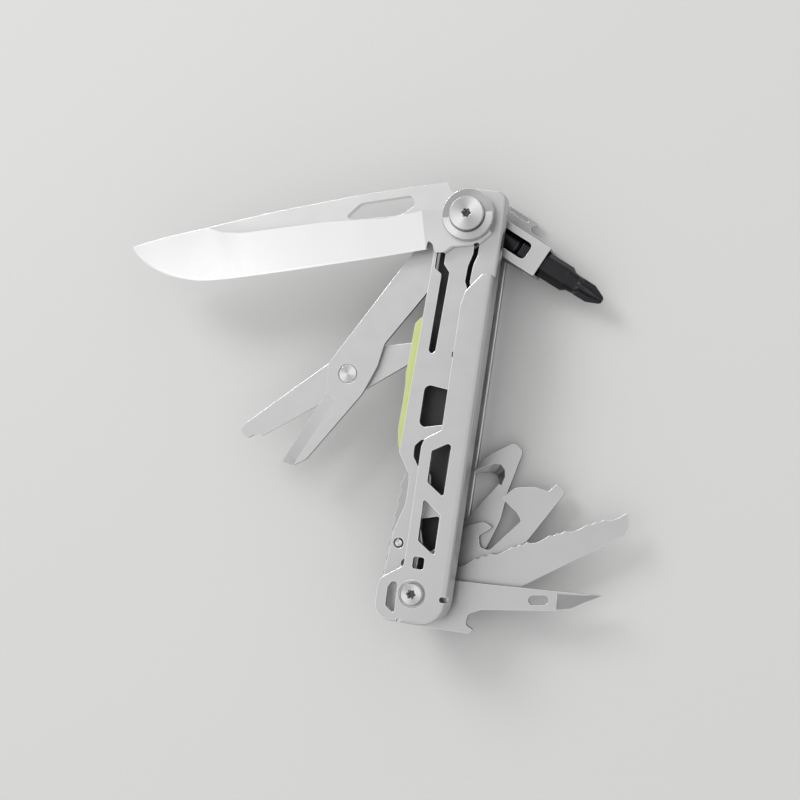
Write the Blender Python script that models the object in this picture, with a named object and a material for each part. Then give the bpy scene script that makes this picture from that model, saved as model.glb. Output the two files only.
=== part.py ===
# Folding multi tool: a flat stack of sheet-metal plates and folding tools on two axles.
#
# All sizes below are millimetres; the meshes are written in metres.
# The tool lies on its rear cover. +Z points out of the front cover, +Y runs from the lower axle to
# the upper axle, and the origin is on the rear face, midway between the two axles.

import math

import bmesh
import bpy
from mathutils.geometry import tessellate_polygon

MM = 0.001

# Overall sizes
PIVOT_SPACING = 96.0  # lower axle to upper axle
BODY_END = 7.3  # how far the plates reach past each axle
COVER_RIGHT = 8.9  # outer face of the front cover's flange
COVER_LEFT = 9.1  # left side of the front cover's foot
LOCK_RIGHT = 8.7  # outer face of the lock plate's flange
REAR_RIGHT = 7.9
REAR_LEFT = 8.4

# Thickness of each layer, from the rear face to the front
REAR_COVER = 1.5
FLAT_TOOL = 1.4
AWL = 1.6
WASHER = 0.3
LINER = 0.6
SCISSOR_BLADE = 1.25
SLIM_PLATE = 0.6  # release lever, thumb grip plate and upper front spacer
LOCK_PLATE = 1.2
MAIN_BLADE = 2.2
FRONT_COVER = 1.5
PLAY = 0.25  # gap between neighbouring layers

# Axles and screws
BARREL_R = 2.0
BARREL_BORE_R = 1.55
SHANK_R = 1.25
AXLE_HOLE_R = BARREL_R + 0.3
NUT_HEAD_R = 4.0
NUT_HEAD = 0.55
NUT_RECESS = 0.9
NUT_SINK = 0.1  # head below the rear face
NUT_CHAMFER = 0.15
NUT_DRIVE = 1.2  # depth of its six-lobe recess
NUT_SHORT = 0.05  # barrel end below the screw's head
BORE_START = 4.0  # the barrel is bored from here to its front end
SHANK_START = 7.0  # the screw's shank runs from here to its head
WASHER_R = 4.5
DISC_R = 6.6
DISC_LEDGE = 0.7
DISC_SEAT = 1.0  # depth of the screw's seat in the disc
DISC_CHAMFER = 0.2
PIVOT_HEAD_R = 4.42
PIVOT_HEAD_PROUD = 1.45
LOWER_HEAD_R = 2.85
LOWER_HEAD_PROUD = 1.1
COVER_RECESS_R = 3.5
COVER_RECESS = 0.9
LOBE_RECESS_R = 1.3
LOBE_RECESS = 1.3

# Sheet bends
BEND_R = 1.3
FLANGE_SHEET = 1.5
LOCK_FLANGE_SHEET = 1.2

# Tools at rest: the direction each one points, in degrees from +X
BLADE_ANGLE = -169.1
SCISSOR_ANGLE = -121.9
SCISSOR_SPREAD = -23.5  # rear blade, measured from the front arm
DRIVER_ANGLE = -25.8
AWL_ANGLE = 7.0
SAW_ANGLE = 27.0
CAN_ANGLE = 43.0
HOOK_ANGLE = 64.0

# Scissors
RIVET_AT = 51.1  # upper axle to the scissors rivet
RIVET_R = 1.3
RIVET_HEAD_R = 2.3
RIVET_HEAD = 0.45
LEAF_SPRING = 0.4  # leaf spring in the rear face of the front arm
LEAF_INSET = 0.05
LEAF_GAP = 0.3

# Driver
BIT_FLATS = 6.35  # quarter-inch hexagon
BIT_LENGTH = 25.0
BIT_CORNERS = 6.9  # across its rounded corners
BIT_START = 13.3  # from the upper axle to the bit's rear end
BIT_OFFSET = 0.5  # the bit lies this far to the arm's upper side
BIT_GAP = 0.15
ARM_WALL = 0.6
ARM_PLATE = 0.75
ARM_LENGTH = 20.5

# Lock plate rivet and release lever
GRIP_RIVET = (-6.4, 11.7)
GRIP_RIVET_R = 1.0
LEVER_PIN = (-8.3, 35.6)
LEVER_PIN_R = 0.8
RIVET_GAP = 0.35

ARC_STEP = math.radians(20)


def stack_heights():
    """Bottom and top of every layer, worked out from the rear face upwards."""
    layers = [
        ("rear_cover", REAR_COVER),
        ("hook", FLAT_TOOL),
        ("washer_1", WASHER),
        ("can", FLAT_TOOL),
        ("washer_2", WASHER),
        ("saw", FLAT_TOOL),
        ("washer_3", WASHER),
        ("awl", AWL),
        ("liner", LINER),
        ("scissor_rear", SCISSOR_BLADE),
        ("scissor_front", SCISSOR_BLADE),
        ("slim", SLIM_PLATE),
        ("lock_plate", LOCK_PLATE),
        ("blade", MAIN_BLADE),
        ("front_cover", FRONT_COVER),
    ]
    spans = {}
    height = 0.0
    for name, thickness in layers:
        spans[name] = (height, height + thickness)
        height += thickness + PLAY
    return spans


SPAN = stack_heights()
TOP = SPAN["front_cover"][1]
TALL = TOP + 10.0  # above everything, for cutters that go right through


# ---- outlines ----


def arc(cx, cy, radius, start, end):
    """Points on an arc, both ends included; the angles are in degrees."""
    steps = max(2, math.ceil(abs(math.radians(end - start)) / ARC_STEP))
    angles = [math.radians(start + (end - start) * k / steps) for k in range(steps + 1)]
    return [(cx + radius * math.cos(a), cy + radius * math.sin(a)) for a in angles]


def circle(cx, cy, radius, count=24):
    angles = [2 * math.pi * k / count for k in range(count)]
    return [(cx + radius * math.cos(a), cy + radius * math.sin(a)) for a in angles]


def filleted(corners):
    """A closed outline from corners (x, y) or (x, y, fillet radius)."""
    outline = []
    count = len(corners)
    for k, corner in enumerate(corners):
        x, y = corner[:2]
        radius = corner[2] if len(corner) > 2 else 0.0
        px, py = corners[k - 1][:2]
        nx, ny = corners[(k + 1) % count][:2]
        back = math.hypot(px - x, py - y)
        ahead = math.hypot(nx - x, ny - y)
        ux, uy = (px - x) / back, (py - y) / back
        vx, vy = (nx - x) / ahead, (ny - y) / ahead
        inside = math.acos(max(-1.0, min(1.0, ux * vx + uy * vy)))
        if radius <= 0 or inside > math.radians(176):
            outline.append((x, y))
            continue
        reach = min(radius / math.tan(inside / 2), 0.48 * back, 0.48 * ahead)
        radius = reach * math.tan(inside / 2)
        middle = math.hypot(ux + vx, uy + vy)
        far = math.hypot(reach, radius)
        cx = x + (ux + vx) / middle * far
        cy = y + (uy + vy) / middle * far
        first = math.atan2(y + uy * reach - cy, x + ux * reach - cx)
        last = math.atan2(y + vy * reach - cy, x + vx * reach - cx)
        sweep = (last - first + math.pi) % (2 * math.pi) - math.pi
        steps = max(1, math.ceil((math.pi - inside) / ARC_STEP))
        for j in range(steps + 1):
            a = first + sweep * j / steps
            outline.append((cx + radius * math.cos(a), cy + radius * math.sin(a)))
    return outline


def smooth(points, steps=3):
    """An open curve through the points (Catmull-Rom), ends included."""
    guide = [points[0]] + list(points) + [points[-1]]
    curve = []
    for k in range(1, len(guide) - 2):
        p0, p1, p2, p3 = guide[k - 1 : k + 3]
        for j in range(steps):
            t = j / steps
            curve.append(
                tuple(
                    0.5
                    * (
                        2 * b
                        + (c - a) * t
                        + (2 * a - 5 * b + 4 * c - d) * t**2
                        + (3 * b - a - 3 * c + d) * t**3
                    )
                    for a, b, c, d in zip(p0, p1, p2, p3)
                )
            )
    curve.append(points[-1])
    return curve


def slot(x0, y0, x1, y1, radius):
    """A round-ended slot between two centres."""
    a = math.degrees(math.atan2(y1 - y0, x1 - x0))
    return arc(x1, y1, radius, a - 90, a + 90) + arc(x0, y0, radius, a + 90, a + 270)


def six_lobe(radius):
    """The outline of a six-lobe driver recess."""
    outline = []
    for k in range(24):
        a = 2 * math.pi * k / 24
        outline.append(
            (
                radius * (0.86 + 0.14 * math.cos(6 * a)) * math.cos(a),
                radius * (0.86 + 0.14 * math.cos(6 * a)) * math.sin(a),
            )
        )
    return outline


# ---- solids ----


def fresh_scene():
    for obj in list(bpy.data.objects):
        bpy.data.objects.remove(obj, do_unlink=True)


MATERIALS = {}


def material(name, colour, metallic, roughness):
    made = bpy.data.materials.new(name)
    made.use_nodes = True
    shader = made.node_tree.nodes["Principled BSDF"]
    shader.inputs["Base Color"].default_value = (*colour, 1.0)
    shader.inputs["Metallic"].default_value = metallic
    shader.inputs["Roughness"].default_value = roughness
    MATERIALS[name] = made


def make_materials():
    material("satin_steel", (0.60, 0.60, 0.61), 1.0, 0.42)
    material("ground_steel", (0.72, 0.72, 0.72), 1.0, 0.25)
    material("turned_steel", (0.70, 0.70, 0.70), 1.0, 0.22)
    material("black_steel", (0.03, 0.03, 0.035), 0.6, 0.45)
    material("green_anodised", (0.62, 0.68, 0.30), 0.5, 0.45)


def build_object(name, bm, finish, at, degrees):
    bmesh.ops.recalc_face_normals(bm, faces=bm.faces)
    if bm.calc_volume(signed=True) < 0:
        bmesh.ops.reverse_faces(bm, faces=bm.faces)
    mesh = bpy.data.meshes.new(name)
    bm.to_mesh(mesh)
    bm.free()
    mesh.shade_smooth()
    mesh.set_sharp_from_angle(angle=math.radians(30))
    obj = bpy.data.objects.new(name, mesh)
    bpy.context.scene.collection.objects.link(obj)
    obj.location = (at[0] * MM, at[1] * MM, 0.0)
    obj.rotation_euler = (0.0, 0.0, math.radians(degrees))
    if finish:
        mesh.materials.append(MATERIALS[finish])
    return obj


def solid(name, levels, holes=(), finish="satin_steel", at=(0, 0), degrees=0.0):
    """A closed solid through outlines [(z, outline), ...] from the bottom up, with straight holes."""
    bm = bmesh.new()
    rings = []
    for z, outline in levels:
        rings.append([bm.verts.new((x * MM, y * MM, z * MM)) for x, y in outline])
    for low, high in zip(rings, rings[1:]):
        for k in range(len(low)):
            n = (k + 1) % len(low)
            bm.faces.new((low[k], low[n], high[n], high[k]))
    caps = {0: [rings[0]], -1: [rings[-1]]}
    for hole in holes:
        pair = []
        for index in (0, -1):
            z = levels[index][0]
            ring = [bm.verts.new((x * MM, y * MM, z * MM)) for x, y in hole]
            caps[index].append(ring)
            pair.append(ring)
        low, high = pair
        for k in range(len(low)):
            n = (k + 1) % len(low)
            bm.faces.new((low[k], high[k], high[n], low[n]))
    for loops in caps.values():
        flat = [v for loop in loops for v in loop]
        for a, b, c in tessellate_polygon([[v.co for v in loop] for loop in loops]):
            bm.faces.new((flat[a], flat[b], flat[c]))
    return build_object(name, bm, finish, at, degrees)


def plate(name, layer, outline, holes=(), finish="satin_steel", at=(0, 0), degrees=0.0):
    """A flat plate that fills one layer of the stack."""
    low, high = SPAN[layer]
    return solid(name, [(low, outline), (high, outline)], holes, finish, at, degrees)


def loft(name, rings, finish=None, at=(0, 0), degrees=0.0):
    """A closed solid through rings of (x, y, z) points, capped at both ends."""
    bm = bmesh.new()
    rows = [[bm.verts.new([v * MM for v in point]) for point in ring] for ring in rings]
    for low, high in zip(rows, rows[1:]):
        for k in range(len(low)):
            n = (k + 1) % len(low)
            bm.faces.new((low[k], low[n], high[n], high[k]))
    bm.faces.new(rows[0][::-1])
    bm.faces.new(rows[-1])
    return build_object(name, bm, finish, at, degrees)


def cut(obj, cutter):
    """Takes the cutter, placed like the object, away from the object."""
    cutter.location = obj.location
    cutter.rotation_euler = obj.rotation_euler
    cutter.hide_render = True
    cutter.display_type = "WIRE"
    modifier = obj.modifiers.new(cutter.name, "BOOLEAN")
    modifier.operation = "DIFFERENCE"
    modifier.object = cutter


def cut_prism(obj, name, outline, low, high):
    cut(obj, solid(name, [(low, outline), (high, outline)], finish=None))


def grind(obj, name, rows, face, side):
    """Grinds a bevel into one face of a flat tool.

    Each row crosses the bevel from its grind line to its edge, as (x, y, depth below the face).
    The face is the height of the flat, and side is +1 on the front and -1 on the rear.
    """
    rings = []
    for row in rows:
        (x0, y0, d0), (x1, y1, d1) = row[0], row[1]
        (xa, ya, da), (xb, yb, db) = row[-2], row[-1]
        lead = 0.04 / max(math.hypot(x1 - x0, y1 - y0), 0.05)
        start = (x0 - (x1 - x0) * lead, y0 - (y1 - y0) * lead, d0 - (d1 - d0) * lead)
        run = 1.2 / max(math.hypot(xb - xa, yb - ya), 0.05)
        stop = (xb + (xb - xa) * run, yb + (yb - ya) * run, db + (db - da) * run * 0.4)
        line = [start] + list(row[1:]) + [stop]
        low = [(x, y, face - side * d) for x, y, d in line]
        ring = low + [(line[-1][0], line[-1][1], face + side * 1.0)]
        ring.append((line[0][0], line[0][1], face + side * 1.0))
        rings.append(ring)
    cut(obj, loft(name, rings))


# ---- plates of the body ----

LOWER = (0.0, -PIVOT_SPACING / 2)
UPPER = (0.0, PIVOT_SPACING / 2)
T = PIVOT_SPACING  # height of the upper axle in the plates' own frame


def bend_levels(outline, low, top, radius):
    """Levels of a sheet whose right-hand edge is bent over: outline(inset) gives each ring."""
    levels = [(low, outline(0.0))]
    for degrees in (0, 30, 60, 90):
        a = math.radians(degrees)
        inset = radius * (1 - math.cos(a))
        levels.append((top - radius * (1 - math.sin(a)), outline(inset)))
    return levels


def front_cover_outline(inset):
    right = COVER_RIGHT - inset
    foot = BODY_END + 0.2
    return filleted(
        [
            (right, T - 14.6, 0.6),
            (6.1, T - 14.6, 1.0),
            (2.3, T - 19.5, 1.8),
            (1.6, T - 23.0, 2.0),
            (1.5, 41.3, 1.0),
            (-2.5, 38.7, 1.6),
            (-3.1, 36.6, 1.2),
            (-3.1, 6.7, 1.6),
            (-8.4, 2.9, 1.8),
            (-COVER_LEFT, 1.2, 0.8),
            (-COVER_LEFT, -foot, 5.0),
            (right, -foot + inset, 6.8 - inset),
        ]
    )


def front_cover():
    """Front cover: a sheet with windows, bent down along its right side and lower right corner."""
    low = SPAN["blade"][0]
    under, top = SPAN["front_cover"]
    windows = [
        filleted([(-0.3, 35.9, 0.6), (-0.3, 28.0, 0.9), (4.35, 24.8, 0.5), (4.5, 38.8, 0.8)]),
        filleted([(-0.6, 23.9, 0.4), (-0.5, 13.3, 1.0), (4.2, 10.1, 0.5), (4.3, 20.3, 0.6)]),
        filleted([(-1.0, 9.4, 0.7), (-1.0, 6.3, 0.7), (1.9, 6.3, 0.7), (1.9, 9.4, 0.7)]),
        filleted(
            [
                (-6.5, 0.8, 0.8),
                (-6.4, -3.9, 0.8),
                (-3.9, -5.6, 0.5),
                (-4.05, 2.4, 0.7),
                (-5.6, 2.4, 0.8),
            ]
        ),
        circle(0, 0, AXLE_HOLE_R),
    ]
    levels = bend_levels(front_cover_outline, low, top, BEND_R)
    obj = solid("front_cover", levels, windows, "satin_steel", LOWER)
    inner = COVER_RIGHT - FLANGE_SHEET
    floor = -(BODY_END + 0.2) + FLANGE_SHEET
    flange_start = -2.6
    pocket = filleted(
        [
            (inner, T + 9),
            (-30, T + 9),
            (-30, -30),
            (flange_start, -30),
            (flange_start, floor),
            (inner, floor, 6.8 - FLANGE_SHEET),
        ]
    )
    cut_prism(obj, "cover_pocket", pocket, low - 5, under)
    cut_prism(obj, "cover_recess", circle(0, 0, COVER_RECESS_R, 32), top - COVER_RECESS, TALL)
    corner_notch = filleted([(6.9, -0.9, 0.6), (12, -0.9), (12, 0.5), (6.9, 0.5, 0.6)])
    cut_prism(obj, "cover_corner_notch", corner_notch, low - 5, TALL)
    relief = slot(flange_start, -12, flange_start, -6.9, 0.5)
    cut_prism(obj, "cover_relief", relief, low - 5, TALL)


def lock_plate_outline(inset):
    right = LOCK_RIGHT - inset
    return filleted(
        [
            (right, T + BODY_END, 2.6),
            (-8.0, T + BODY_END, 7.0),
            (-8.3, T - 15.0, 4.0),
            (-9.7, 34.5, 0.5),
            (-6.1, 28.8, 4.5),
            (-6.0, 21.8, 5.0),
            (-8.1, 15.0, 6.0),
            (-9.0, 3.4, 1.0),
            (-8.7, -BODY_END, 5.0),
            (right, -BODY_END, 6.4 - inset),
        ]
    )


def lock_bar_slot():
    """The U-shaped slot that frees the lock bar: a left leg, a cut above the bar and a right leg."""
    bar_end = T - 6.4
    return filleted(
        [
            (-7.4, bar_end + 0.8, 0.5),
            (-7.4, T - 13.9, 0.8),
            (-5.4, T - 15.2, 0.8),
            (-5.9, 61.0, 0.8),
            (-5.0, 60.2, 0.7),
            (-4.1, 61.0, 0.8),
            (-3.4, T - 14.6, 0.7),
            (-5.1, T - 12.6, 0.5),
            (-5.1, bar_end, 0.3),
            (2.0, bar_end, 0.3),
            (2.0, T - 9.2, 1.0),
            (1.1, T - 12.6, 2.0),
            (0.95, T - 16.4, 0.8),
            (1.8, T - 18.4, 0.8),
            (1.8, 62.4, 0.5),
            (0.25, 61.4, 0.6),
            (0.3, 59.9, 0.6),
            (2.0, 59.9, 0.6),
            (2.9, 61.5, 0.6),
            (2.9, T - 18.8, 0.8),
            (2.2, T - 16.4, 0.8),
            (2.4, T - 12.6, 2.0),
            (3.3, T - 9.2, 1.0),
            (3.3, bar_end + 0.8, 0.5),
        ]
    )


def lock_plate():
    """Lock plate: the bent sheet behind the blade, with the lock bar cut out of it."""
    low = SPAN["scissor_front"][0]
    under, top = SPAN["lock_plate"]
    holes = [
        circle(0, 0, AXLE_HOLE_R),
        circle(0, T, AXLE_HOLE_R),
        lock_bar_slot(),
        filleted([(-5.5, 52.5, 1.6), (-5.6, 41.2, 1.5), (3.0, 43.4, 1.0), (3.0, 51.5, 1.0)]),
        filleted(
            [
                (-4.3, 38.4, 0.9),
                (-5.9, 36.6, 1.4),
                (-5.8, 33.8, 1.4),
                (-4.0, 31.2, 1.2),
                (-0.7, 30.0, 0.9),
                (-0.1, 24.7, 0.8),
                (4.0, 22.6, 0.8),
                (4.0, 38.4, 0.8),
            ]
        ),
        filleted(
            [
                (-1.5, 18.6, 0.6),
                (-1.2, 16.0, 1.0),
                (-0.2, 12.4, 0.8),
                (2.0, 10.6, 0.5),
                (3.2, 11.7, 0.5),
                (3.2, 20.0, 0.6),
            ]
        ),
        filleted([(-0.8, 9.0, 0.5), (-0.8, 5.4, 0.5), (1.0, 5.4, 0.5), (2.3, 7.8, 0.5), (2.3, 9.0, 0.5)]),
        circle(-3.9, 6.9, 1.1, 16),
        circle(*GRIP_RIVET, GRIP_RIVET_R + RIVET_GAP),
    ]
    levels = bend_levels(lock_plate_outline, low, top, 1.0)
    obj = solid("lock_plate", levels, holes, "satin_steel", LOWER)
    inner = LOCK_RIGHT - LOCK_FLANGE_SHEET
    pocket = [(inner, T + 30), (-30, T + 30), (-30, -30), (inner, -30)]
    cut_prism(obj, "lock_pocket", pocket, low - 5, under)


def inner_liner():
    """Black sheet between the scissors and the lower tools."""
    outline = filleted(
        [
            (7.5, T + 6.6, 6.0),
            (-7.8, T + 6.6, 6.5),
            (-7.8, -6.6, 6.0),
            (7.5, -6.6, 6.0),
        ]
    )
    holes = [
        circle(0, 0, AXLE_HOLE_R),
        circle(0, T, AXLE_HOLE_R),
        filleted([(1.9, 36.4, 0.4), (1.9, 27.0, 0.4), (2.9, 26.2, 0.3), (2.9, 37.4, 0.3)]),
    ]
    plate("inner_liner", "liner", outline, holes, "black_steel", LOWER)


def rear_cover_outline(inset):
    right = REAR_RIGHT - inset
    left = REAR_LEFT - inset
    end = BODY_END - 0.1 - inset
    return filleted(
        [
            (right, T + end, 6.6 - inset),
            (-left, T + end, 7.0 - inset),
            (-left, -end, 6.6 - inset),
            (right, -end, 6.6 - inset),
        ]
    )


def rear_cover():
    """Rear cover: the plate that the tool lies on, with a rounded rim and recessed nuts."""
    low, high = SPAN["rear_cover"]
    rim = 0.55
    levels = [
        (low, rear_cover_outline(0.3)),
        (low + 0.3, rear_cover_outline(0.0)),
        (high - rim, rear_cover_outline(0.0)),
        (high - rim * 0.3, rear_cover_outline(rim * 0.3)),
        (high, rear_cover_outline(rim)),
    ]
    holes = [circle(0, 0, AXLE_HOLE_R), circle(0, T, AXLE_HOLE_R)]
    obj = solid("rear_cover", levels, holes, "satin_steel", LOWER)
    for name, y in (("rear_recess_lower", 0.0), ("rear_recess_upper", T)):
        recess = circle(0, y, NUT_HEAD_R + PLAY, 32)
        cut_prism(obj, name, recess, low - 5, low + NUT_RECESS)


def thumb_grip_plate():
    """Plate behind the lock plate's lower left edge; its left edge carries ratchet-like teeth."""
    teeth = 7
    pitch = 3.7
    depth = 0.5
    lean = 0.062 * pitch  # how far the toothed edge moves out from one tooth to the next
    top_x, top_y = -7.7, 28.8
    outline = [(-7.2, top_y + 1.0), (top_x, top_y)]
    for k in range(1, teeth + 1):
        x = top_x - lean * k
        y = top_y - pitch * k
        outline.append((x - depth, y + 0.5))
        outline.append((x, y))
    outline += [(-4.5, 2.2), (-4.5, top_y - 5.0)]
    hole = circle(*GRIP_RIVET, GRIP_RIVET_R + RIVET_GAP)
    plate("thumb_grip_plate", "slim", outline, [hole], "satin_steel", LOWER)


def grip_rivet():
    low = SPAN["slim"][0]
    top = SPAN["lock_plate"][1]
    levels = [
        (low, circle(0, 0, GRIP_RIVET_R)),
        (top - 0.2, circle(0, 0, GRIP_RIVET_R)),
        (top, circle(0, 0, GRIP_RIVET_R - 0.15)),
    ]
    at = (GRIP_RIVET[0], LOWER[1] + GRIP_RIVET[1])
    solid("grip_rivet", levels, finish="turned_steel", at=at)


def release_lever():
    """Coloured lever along the lock plate's left edge; it turns on a blind pin at its lower end."""
    px, py = LEVER_PIN
    reach = T - 27.0 - py
    corners = [
        (px + 1.4, -1.5, 1.0),
        (px + 1.4, 1.6, 1.0),
        (-7.6, 3.6, 1.0),
        (-7.6, reach - 1.0, 0.8),
        (-9.2, reach + 0.6, 0.4),
        (-10.8, reach - 1.4, 1.2),
        (-11.15, reach - 12.0),
        (-11.35, reach - 14.6, 1.0),
        (-11.0, reach - 16.8, 1.0),
        (-11.0, 11.0, 4.0),
        (-11.25, 5.0, 3.0),
        (-10.6, 0.6, 1.5),
        (-9.4, -1.5, 1.0),
    ]
    outline = filleted([(x - px, y, *fillet) for x, y, *fillet in corners])
    hole = circle(0, 0, LEVER_PIN_R + RIVET_GAP, 16)
    at = (px, LOWER[1] + py)
    plate("release_lever", "slim", outline, [hole], "green_anodised", at)
    plate("lever_pin", "slim", circle(0, 0, LEVER_PIN_R, 16), (), "turned_steel", at)


# ---- axles, screws, washers and spacers ----


def axle(name, at, top):
    """Barrel nut: a flat head in the rear cover, and a bored barrel through the whole stack."""
    low = NUT_SINK
    neck = low + NUT_HEAD
    rim = circle(0, 0, NUT_HEAD_R, 32)
    soft = circle(0, 0, NUT_HEAD_R - NUT_CHAMFER, 32)
    head = [(low, soft), (low + NUT_CHAMFER, rim), (neck, rim)]
    barrel = circle(0, 0, BARREL_R, 32)
    levels = head + [(neck + 0.001, barrel), (top, barrel)]
    obj = solid(name, levels, finish="turned_steel", at=at)
    cut_prism(obj, name + "_bore", circle(0, 0, BARREL_BORE_R, 20), BORE_START, TALL)
    cut_prism(obj, name + "_recess", six_lobe(LOBE_RECESS_R), -3.0, low + NUT_DRIVE)


def screw(name, at, radius, seat, top, chamfer):
    """Screw from the front: a turned head with a six-lobe recess, and a shank in the barrel."""
    shank = circle(0, 0, SHANK_R, 32)
    rim = circle(0, 0, radius, 32)
    soft = circle(0, 0, radius - chamfer, 32)
    levels = [
        (SHANK_START, shank),
        (seat, shank),
        (seat + 0.001, rim),
        (top - chamfer, rim),
        (top, soft),
    ]
    obj = solid(name, levels, finish="turned_steel", at=at)
    cut_prism(obj, name + "_recess", six_lobe(LOBE_RECESS_R), top - LOBE_RECESS, TALL)


def pivot_disc():
    """Stepped disc over the blade's tang; half of its rim is a lower ledge."""
    low, top = SPAN["front_cover"]
    rim = circle(0, 0, DISC_R, 48)
    soft = circle(0, 0, DISC_R - DISC_CHAMFER, 48)
    levels = [(low, rim), (top - DISC_CHAMFER, rim), (top, soft)]
    obj = solid("pivot_disc", levels, [circle(0, 0, AXLE_HOLE_R)], "turned_steel", UPPER)
    seat = circle(0, 0, PIVOT_HEAD_R + PLAY, 48)
    cut_prism(obj, "disc_seat", seat, top - DISC_SEAT, TALL)
    sector = arc(0, 0, DISC_R + 2, 12, 195) + arc(0, 0, PIVOT_HEAD_R - 1, 195, 12)
    cut_prism(obj, "disc_ledge", sector, top - DISC_LEDGE, TALL)


def ring(name, layer_low, layer_high, radius, at, finish="turned_steel"):
    """A washer or spacer on an axle, from the bottom of one layer to the top of another."""
    low = SPAN[layer_low][0]
    high = SPAN[layer_high][1]
    outline = circle(0, 0, radius, 32)
    solid(name, [(low, outline), (high, outline)], [circle(0, 0, AXLE_HOLE_R)], finish, at)


def hardware():
    cover_top = SPAN["front_cover"][1]
    seat = cover_top - COVER_RECESS + PLAY
    disc_seat = cover_top - DISC_SEAT + PLAY
    axle("lower_axle", LOWER, cover_top - COVER_RECESS - NUT_SHORT)
    axle("upper_axle", UPPER, cover_top - DISC_SEAT - NUT_SHORT)
    screw("lower_pivot_screw", LOWER, LOWER_HEAD_R, seat, cover_top + LOWER_HEAD_PROUD, 0.3)
    screw("blade_pivot_screw", UPPER, PIVOT_HEAD_R, disc_seat, cover_top + PIVOT_HEAD_PROUD, 0.25)
    pivot_disc()
    for k in (1, 2, 3):
        layer = f"washer_{k}"
        ring(f"tool_washer_{k}", layer, layer, WASHER_R, LOWER)
    ring("lower_spacer", "scissor_rear", "slim", 4.0, LOWER)
    ring("lower_front_spacer", "blade", "blade", 3.5, LOWER)
    ring("upper_rear_spacer", "scissor_rear", "scissor_rear", WASHER_R, UPPER)
    ring("upper_front_spacer", "slim", "slim", WASHER_R, UPPER)


# ---- main blade ----


def main_blade():
    """Drop-point blade; +X runs to its tip, and its spine is on the -Y side."""
    edge = smooth(
        [
            (92.8, 0.0),
            (90.3, 3.5),
            (85.7, 6.8),
            (79.2, 9.3),
            (71.0, 10.6),
            (55.4, 10.2),
            (38.7, 9.3),
            (22.2, 8.3),
            (11.4, 7.5),
        ]
    )
    tang = filleted(
        [
            (11.2, 5.7, 0.3),
            (10.4, 5.6, 0.4),
            (9.6, 6.6, 0.6),
            (9.3, 8.6, 0.9),
            (7.2, 8.9, 1.2),
            (4.8, 7.4, 1.2),
            (-0.8, 7.4),
            (-2.6, 6.9),
            (-4.9, 5.2),
            (-5.6, 4.4, 0.4),
        ]
    )
    back = arc(0, 0, 6.0, 145, 296)
    spine = smooth(
        [
            (4.9, -9.0),
            (24.2, -8.3),
            (38.1, -7.1),
            (53.9, -5.6),
            (71.3, -3.3),
            (82.5, -2.1),
            (92.6, -0.3),
        ],
        2,
    )
    outline = spine + edge + tang + back + [(4.4, -6.9)]
    thumb_hole = filleted(
        [
            (32.4, -2.6, 1.2),
            (28.2, -5.9, 3.0),
            (14.6, -6.6, 1.2),
            (13.4, -4.2, 1.5),
            (17.2, -1.7, 5.0),
            (30.5, -1.6, 2.0),
        ]
    )
    holes = [circle(0, 0, AXLE_HOLE_R), thumb_hole]
    obj = plate("main_blade", "blade", outline, holes, "ground_steel", UPPER, BLADE_ANGLE)
    rows = bevel_rows()
    low, high = SPAN["blade"]
    grind(obj, "blade_bevel_front", rows, high, 1)
    grind(obj, "blade_bevel_rear", rows, low, -1)


def bevel_rows():
    """Rows of the main bevel, from the grind line to the edge, with a narrow edge bevel at the end."""
    half = MAIN_BLADE / 2
    # Each pair: a point on the grind line with its depth, and the point of the edge across from it.
    pairs = [
        ((93.4, -0.2, half * 0.75), (93.2, 0.4)),
        ((88.0, -1.2, half * 0.55), (90.3, 3.5)),
        ((82.5, -2.1, half * 0.35), (85.7, 6.8)),
        ((76.5, -2.8, half * 0.15), (79.2, 9.3)),
        ((70.6, -3.4, 0.0), (71.0, 10.6)),
        ((66.7, -1.8, 0.0), (66.7, 10.55)),
        ((60.8, -1.1, 0.0), (60.8, 10.4)),
        ((52.0, -1.4, 0.0), (52.0, 10.05)),
        ((38.3, -1.9, 0.0), (38.3, 9.28)),
        ((22.0, -1.3, 0.0), (22.0, 8.28)),
        ((12.1, -2.3, 0.0), (11.5, 7.5)),
    ]
    rows = []
    for (gx, gy, depth), (ex, ey) in pairs:
        length = math.hypot(ex - gx, ey - gy)
        back = min(0.7 / length, 0.5)
        mx = ex + (gx - ex) * back
        my = ey + (gy - ey) * back
        rows.append([(gx, gy, depth), (mx, my, half - 0.28), (ex, ey, half - 0.08)])
    return rows


# ---- scissors ----


def leaf_outline(gap):
    """The scissors' leaf spring, which narrows towards the rivet; gap widens it for its recess."""
    start = 15.0 - gap
    end = RIVET_AT - 5.1 + gap
    return filleted(
        [
            (start, -5.0 - gap, 0.8),
            (end, -4.4 - gap, 0.8),
            (end, -2.9 + gap, 0.8),
            (start, -2.4 + gap, 0.8),
        ]
    )


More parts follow.
